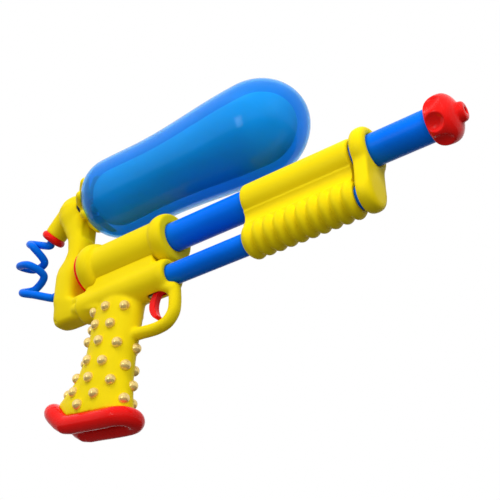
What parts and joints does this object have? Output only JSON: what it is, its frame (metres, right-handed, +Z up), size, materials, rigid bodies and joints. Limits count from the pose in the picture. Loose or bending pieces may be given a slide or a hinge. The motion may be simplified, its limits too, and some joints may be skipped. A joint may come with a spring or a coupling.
{
  "type": "water squirter",
  "caption": "Pump water squirter with a top tank, sliding ribbed pump handle, trigger valve in a studded grip, turning nozzle and coiled feed hose.",
  "frame": {"origin": "centre of the hand in the grip", "axes": "+X towards the muzzle along the barrel, +Z up towards the tank, +Y to the user's left"},
  "size_m": [0.4996, 0.0876, 0.2963],
  "materials": {
    "yellow": "satin moulded plastic",
    "blue": "satin tube",
    "tank": "clear tinted plastic",
    "bladder": "smooth",
    "red": "glossy",
    "gold": "metallised",
    "steel": "plain",
    "brass": "turned",
    "fitting": "plain",
    "seal": "plain"
  },
  "bodies": {
    "body": {"body_right": "yellow", "body_left": "yellow", "body_screws": "steel", "grip_studs": "gold", "base_ring": "red", "barrel_housing": "yellow", "barrel_tube": "blue", "barrel_gasket": "red", "barrel_plug": "fitting", "rear_coupler": "red", "jet_tube": "fitting", "front_yoke": "yellow", "pump_tube": "blue", "pump_plug": "fitting", "check_ball": "steel", "air_line": "fitting", "supply_line": "fitting", "outlet_line": "fitting", "hose_gland": "red", "coil_hose": "blue", "tank_socket": "fitting", "neck_seal": "seal", "trigger_pins": "steel", "valve_body": "fitting", "valve_spring": "steel"},
    "tank": {"tank_shell": "tank", "water_bladder": "bladder", "bladder_clamp": "fitting"},
    "collar": {"tank_collar": "yellow"},
    "pump": {"pump_handle": "yellow", "drive_key": "steel", "pump_rod": "steel", "pump_piston": "fitting", "piston_seal": "seal"},
    "trigger": {"trigger": "red"},
    "plunger": {"valve_plunger": "steel", "valve_seal": "seal"},
    "nozzle": {"nozzle_cap": "red", "nozzle_jet": "brass", "nozzle_seal": "seal"}
  },
  "joints": [
    {"name": "pump_slide", "type": "slide", "parent": "body", "child": "pump", "axis": [-1, 0, 0], "range_m": [0, 0.07]},
    {"name": "trigger_pull", "type": "hinge", "parent": "body", "child": "trigger", "pos_m": [0.055, 0, 0.0655], "axis": [0, 1, 0], "range_deg": [0, 10], "stiffness_Nm_per_rad": 0.4, "springref_deg": -6.88},
    {"name": "valve_slide", "type": "slide", "parent": "body", "child": "plunger", "axis": [-1, 0, 0], "range_m": [0, 0.0028], "deforming": ["valve_spring"]},
    {"name": "nozzle_turn", "type": "hinge", "parent": "body", "child": "nozzle", "pos_m": [0.33, 0, 0.105], "axis": [1, 0, 0], "range_deg": [0, 90]},
    {"name": "collar_turn", "type": "hinge", "parent": "body", "child": "collar", "pos_m": [-0.04, 0, 0.1855], "axis": [1, 0, 0], "range_deg": [0, 60]},
    {"name": "tank_pull", "type": "slide", "parent": "body", "child": "tank", "axis": [1, 0, 0], "range_m": [0, 0.03]}
  ],
  "couplings": [
    {"joint": "valve_slide", "follows": "trigger_pull", "m_per_rad": 0.015}
  ]
}
